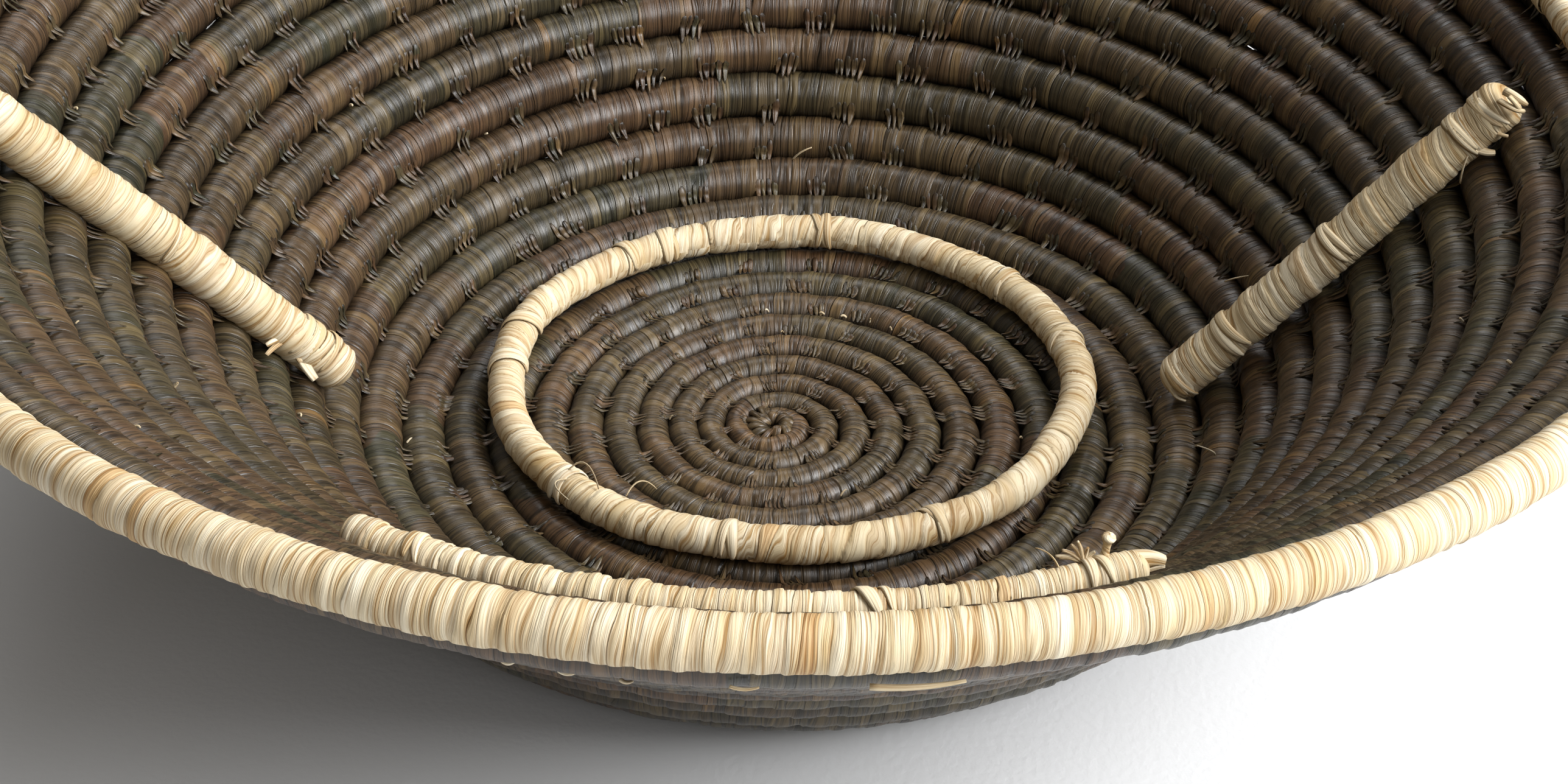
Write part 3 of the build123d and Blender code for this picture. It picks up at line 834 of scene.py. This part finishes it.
def looseParts(strips, seed):
    # thin strips along a curve, each given by where it starts, passes and ends, then its
    # width and thickness; it narrows to its end
    start, middle, end = (np.array([strip[k] for strip in strips], float)[:, None] for k in range(3))
    t = np.linspace(0, 1, looseLook["steps"])[None, :, None]
    pull = 2 * middle - (start + end) / 2
    place = (1 - t) ** 2 * start + 2 * t * (1 - t) * pull + t ** 2 * end
    draw = np.random.default_rng(seed)
    turn = draw.uniform(-looseLook["turn"], looseLook["turn"], (len(strips), 1, 3))
    up = np.array(looseLook["up"]) + turn + 0 * place
    width = np.array([strip[3] for strip in strips])[:, None] * (1 - looseLook["taper"] * t[..., 0] ** 2)
    thick = np.array([strip[4] for strip in strips])[:, None] + 0 * width
    return ribbonParts(place, up, width, thick, draw.integers(0, ribbon["tones"], len(strips)))


def buildLoose(name, strips, seed, more=()):
    # loose strips of undyed raffia, and any other meshes, as one piece
    return makePiece(name, *joined([looseParts(strips, seed), *more]), natural, "natural_raffia")


# where the left bar is bound, four strips come loose under it
buildLoose("left_bar_loose", [
    ((-81.0, -11.0, 31.6), (-83.6, -13.6, 32.6), (-86.2, -16.6, 32.8), 1.5, 0.16),
    ((-81.6, -10.6, 30.8), (-84.0, -14.0, 31.8), (-86.0, -18.2, 32.0), 1.4, 0.16),
    ((-83.0, -11.2, 31.6), (-81.4, -13.4, 28.2), (-79.0, -15.2, 24.8), 2.5, 0.2),
    ((-82.8, -11.2, 31.6), (-82.4, -13.2, 30.0), (-81.2, -14.8, 28.0), 1.4, 0.16)], 101)
# the right bar's head is tied off in a small bun with two short tails, its foot in a curl
buildLoose("right_bar_loose", [
    ((113.4, 3.0, 65.2), (114.6, 1.6, 64.8), (116.4, 0.8, 64.6), 1.0, 0.3),
    ((110.8, 3.2, 62.0), (112.6, 1.6, 61.4), (114.8, 1.2, 61.2), 1.9, 0.35),
    ((111.6, 2.6, 62.0), (110.0, 0.6, 59.4), (109.6, 0.0, 56.0), 0.3, 0.25),
    ((115.0, 2.4, 72.2), (116.8, 0.4, 72.0), (118.4, 1.0, 70.6), 1.5, 0.4),
    ((114.2, 1.6, 70.8), (116.0, -0.3, 70.6), (118.0, 0.4, 69.6), 1.5, 0.4),
    ((115.4, 0.8, 72.0), (116.6, -0.2, 71.0), (117.2, 0.4, 69.6), 1.2, 0.5),
    ((66.6, 1.6, 15.0), (65.6, -0.4, 14.2), (66.8, -1.2, 12.2), 1.2, 0.45),
    ((67.8, 0.2, 14.8), (66.2, -1.0, 13.2), (68.2, -1.6, 12.0), 0.9, 0.4)], 102)

knob = dict(tall=4.5, thick=0.82, waist=0.28, ball=0.3, ballAt=0.86, ballRun=0.09, steps=26, around=10)
# the tuft's fibres: how far each leans along the bar, and how tall it is
tuft = ((-3.6, 0.7), (-2.8, 1.7), (-1.7, 2.6), (-0.9, 3.2), (0.5, 2.2), (1.5, 1.5), (-3.1, 0.4))


def onFrontBar(degrees, lift):
    # a point above the front bar's middle line
    place, normal = valleyLine("front_bar", np.array([degrees], float))
    return place[0] + normal[0] * (lift - lyingLook["press"])


def knobParts(foot):
    # a twisted stub: a thin-waisted tube that stands up, with a ball near its end
    t = np.linspace(0, 1, knob["steps"])
    middle = foot + np.stack([0.5 * t, 0.2 * np.sin(3 * t), knob["tall"] * t], -1)
    radius = knob["thick"] - knob["waist"] * np.sin(math.pi * t)
    radius = radius + knob["ball"] * np.exp(-((t - knob["ballAt"]) / knob["ballRun"]) ** 2)
    radius = radius * np.sqrt(1 - np.clip((t - 0.9) / 0.101, 0, 1) ** 2)
    strips = t[:, None] * 2 + np.arange(knob["around"] + 1)[None] / knob["around"]
    return tubeParts(middle, np.tile([1.0, 0, 0], (len(t), 1)),
                     np.repeat(radius[:, None], knob["around"], 1), strips)


def buildFrontEnds():
    # the front bar: a stub and a tuft of fibres on top, and a folded strip at its right end
    root = onFrontBar(-71.6, 2.4)
    strips = []
    for lean, tall in tuft:
        tip = root + np.array([lean, 0.5, tall])
        strips.append((root, (root + tip) / 2 + np.array([0.1, 0.2, 0.2]), tip, 0.7, 0.3))
    hair = onFrontBar(-73.2, 2.4)
    strips.append((hair, hair + np.array([-1.3, 0.3, 2.0]), hair + np.array([-3.2, 0.5, 2.9]), 0.25, 0.22))
    before, tip = onFrontBar(-69.6, 0.9), onFrontBar(-66.4, 0.0)
    strips.append((before, (before + tip) / 2 + np.array([0.1, 0.2, 0.7]), tip, 3.0, 0.5))
    low = before - np.array([0, 0.3, 1.6])
    strips.append((low, (low + tip) / 2 + np.array([0.1, 0, 0.0]), tip - np.array([0, 0.2, 0.4]), 2.0, 0.4))
    buildLoose("front_bar_loose", strips, 103, more=[knobParts(onFrontBar(-70.3, 2.0))])


buildFrontEnds()

hairs = dict(
    curls=[((-37.0, -24.6, 13.2), (-33.8, -25.6, 15.8), (-31.4, -29.6, 13.6), 0.3, 0.25),
           ((-26.8, -31.0, 13.4), (-24.6, -28.6, 14.6), (-22.0, -27.8, 12.4), 0.3, 0.25),
           ((-36.6, -26.8, 13.4), (-38.6, -29.6, 14.6), (-36.2, -32.2, 13.4), 0.25, 0.2),
           ((0.0, 70.0, 15.4), (1.6, 69.4, 17.4), (3.6, 69.8, 18.2), 0.35, 0.25),
           ((76.0, 16.6, 24.6), (77.4, 15.0, 26.4), (79.6, 15.2, 26.8), 0.3, 0.25),
           ((70.0, -24.7, 18.2), (69.0, -26.4, 20.4), (66.6, -26.6, 21.6), 0.3, 0.25)],
    scraps=34, turns=(4, 22), depth=0.36, swing=1.2, across=(-0.3, 0.9), rise=(0.3, 1.2),
    width=(0.25, 0.6), thick=0.22)


def buildHairs():
    # thin curled fibres on the ring and the wall, and scraps that stick out between the rows
    scraps = []
    for _ in range(hairs["scraps"]):
        u = rng.uniform(*hairs["turns"])
        middle, normal, out, tangent = (v[0] for v in coilFrame(np.array([u])))
        root = middle - out * pitch(u) / 2 + normal * pitch(u) * hairs["depth"]
        swing = tangent * rng.uniform(-1, 1) * hairs["swing"]
        tip = root + swing - out * rng.uniform(*hairs["across"]) + normal * rng.uniform(*hairs["rise"])
        scraps.append((root, (root + tip) / 2 + normal * 0.3, tip, rng.uniform(*hairs["width"]),
                       hairs["thick"]))
    buildLoose("curled_fibres", hairs["curls"] + scraps, 105)


buildHairs()

# degrees from +x, turn of the coil, length and width of each scrap under the rim
rimScraps = ((-84, 23.42, 13, 0.9), (-92, 23.3, 4, 0.5), (-101, 22.3, 2.5, 0.8),
             (-105, 21.4, 2.0, 0.9), (-99, 20.6, 2.2, 0.6), (-82, 22.4, 3.0, 0.5))


def buildRimScraps():
    # outside under the rim, pale scraps of the rim's strip lie between the dark rows
    scraps = []
    for azimuth, turn, run, wide in rimScraps:
        angles = np.radians(azimuth + np.array([-0.5, 0, 0.5]) * run / 2.9)
        middle, normal = coilFrame(turn - angles / fullTurn, angles)[:2]
        place = middle - normal * (coil["wallPitch"] / 2 + 0.1)
        scraps.append((place[0], place[1] - normal[1] * 0.3, place[2], wide, 0.3))
    buildLoose("rim_scraps", scraps, 106)


buildRimScraps()
print("loose ends laid")

petals = dict(
    count=13, scatter=0.25, reach=(3.2, 6.4), hole=0.9, width=(1.4, 2.9), thick=0.4,
    lift=2.8, sink=0.6, swirl=0.55, steps=8, tones=999)


def buildMiddle():
    # where the coil starts, each petal is a strip that comes out of a small hole, arches over
    # the first turn and goes down between it and the second
    count = petals["count"]
    t = np.linspace(0, 1, petals["steps"])[None]
    scatter = rng.uniform(-petals["scatter"], petals["scatter"], count)
    angle = (fullTurn * (np.arange(count) + scatter) / count)[:, None]
    reach = rng.uniform(*petals["reach"], count)[:, None]
    swirl = angle - petals["swirl"] * t
    radius = petals["hole"] + (reach - petals["hole"]) * t
    arch = np.sin(math.pi * np.clip(0.12 + 0.8 * t, 0, 1)) ** 0.8
    height = floorRise + petals["lift"] * arch - petals["sink"]
    middle = np.stack([coil["drift"] + radius * np.cos(swirl), radius * np.sin(swirl),
                       height + 0 * swirl], -1)
    up = np.stack([(t - 0.4) * np.cos(swirl), (t - 0.4) * np.sin(swirl), 1 + 0 * swirl], -1)
    width = rng.uniform(*petals["width"], count)[:, None] * (0.45 + 0.75 * t) * (1 - t ** 6 * 0.7)
    parts = ribbonParts(middle, up, width, petals["thick"] + 0 * width,
                        rng.integers(0, petals["tones"], count))
    return makePiece("middle_folds", *parts, dyed, "dark_raffia", ["start_knot"])


buildMiddle()
print("middle folded")

# a matt painted board with a faint grain
boardLook = dict(colour="#d9dadb", scale=700.0, detail=3.0, bumpShare=0.35, bump=0.25, rough=0.8)
stage = dict(
    size=4.0, dome=1.4, aim=0.03, lightColour=(0.985, 0.99, 1.0),
    world="#fff6ea", worldPower=0.19,
    # each light's name, degrees from +x, degrees up, width in metres and power
    lights=[("key", -20, 35, 0.8, 29.5), ("high", 4, 50, 0.8, 15.0), ("back", 100, 50, 0.8, 6.5),
            ("front", -60, 40, 0.9, 5.5)])


def buildFloor():
    bpy.ops.mesh.primitive_plane_add(size=stage["size"])
    floor = bpy.context.object
    floor.name = "floor"
    floor.data.materials.append(grained("paintedBoard", boardLook))


def areaLight(name, azimuth, elevation, size, power):
    # a round soft box on a dome over the bowl, facing it
    flat, up = math.radians(azimuth), math.radians(elevation)
    aim = Vector((0, 0, stage["aim"]))
    away = Vector((math.cos(up) * math.cos(flat), math.cos(up) * math.sin(flat), math.sin(up)))
    data = bpy.data.lights.new(name, "AREA")
    data.shape, data.size, data.energy, data.color = "DISK", size, power, stage["lightColour"]
    light = bpy.data.objects.new(name, data)
    bpy.context.scene.collection.objects.link(light)
    light.location = aim + away * stage["dome"]
    light.rotation_euler = (-away).to_track_quat("-Z", "Y").to_euler()


def buildWorld():
    # a weak, slightly warm fill from all round
    world = bpy.data.worlds.new("studio")
    world.use_nodes = True
    background = world.node_tree.nodes["Background"]
    background.inputs["Color"].default_value = linear(stage["world"])
    background.inputs["Strength"].default_value = stage["worldPower"]
    bpy.context.scene.world = world
    bpy.context.scene.view_settings.view_transform = "Standard"


view = dict(
    elevation=35.65, distance=494.96, aim=20 + floorRise, lens=66.52, sensor=36,
    shiftX=-0.0045, shiftY=-0.0342, roll=0.00984, clip=0.01)


def buildCamera():
    # looks from the front down into the bowl; the shift puts the floor's middle where it is framed
    data = bpy.data.cameras.new("camera")
    data.lens, data.sensor_width = view["lens"], view["sensor"]
    data.shift_x, data.shift_y = view["shiftX"], view["shiftY"]
    data.clip_start = view["clip"]
    camera = bpy.data.objects.new("camera", data)
    bpy.context.scene.collection.objects.link(camera)
    up = math.radians(view["elevation"])
    back = Vector((0, -math.cos(up), math.sin(up)))
    camera.location = (Vector((0, 0, view["aim"])) + back * view["distance"]) * mm
    turn = (-back).to_track_quat("-Z", "Y").to_matrix() @ Matrix.Rotation(view["roll"], 3, "Z")
    camera.rotation_euler = turn.to_euler()
    bpy.context.scene.camera = camera


buildFloor()
for light in stage["lights"]:
    areaLight(*light)
buildWorld()
buildCamera()
print("stage set")
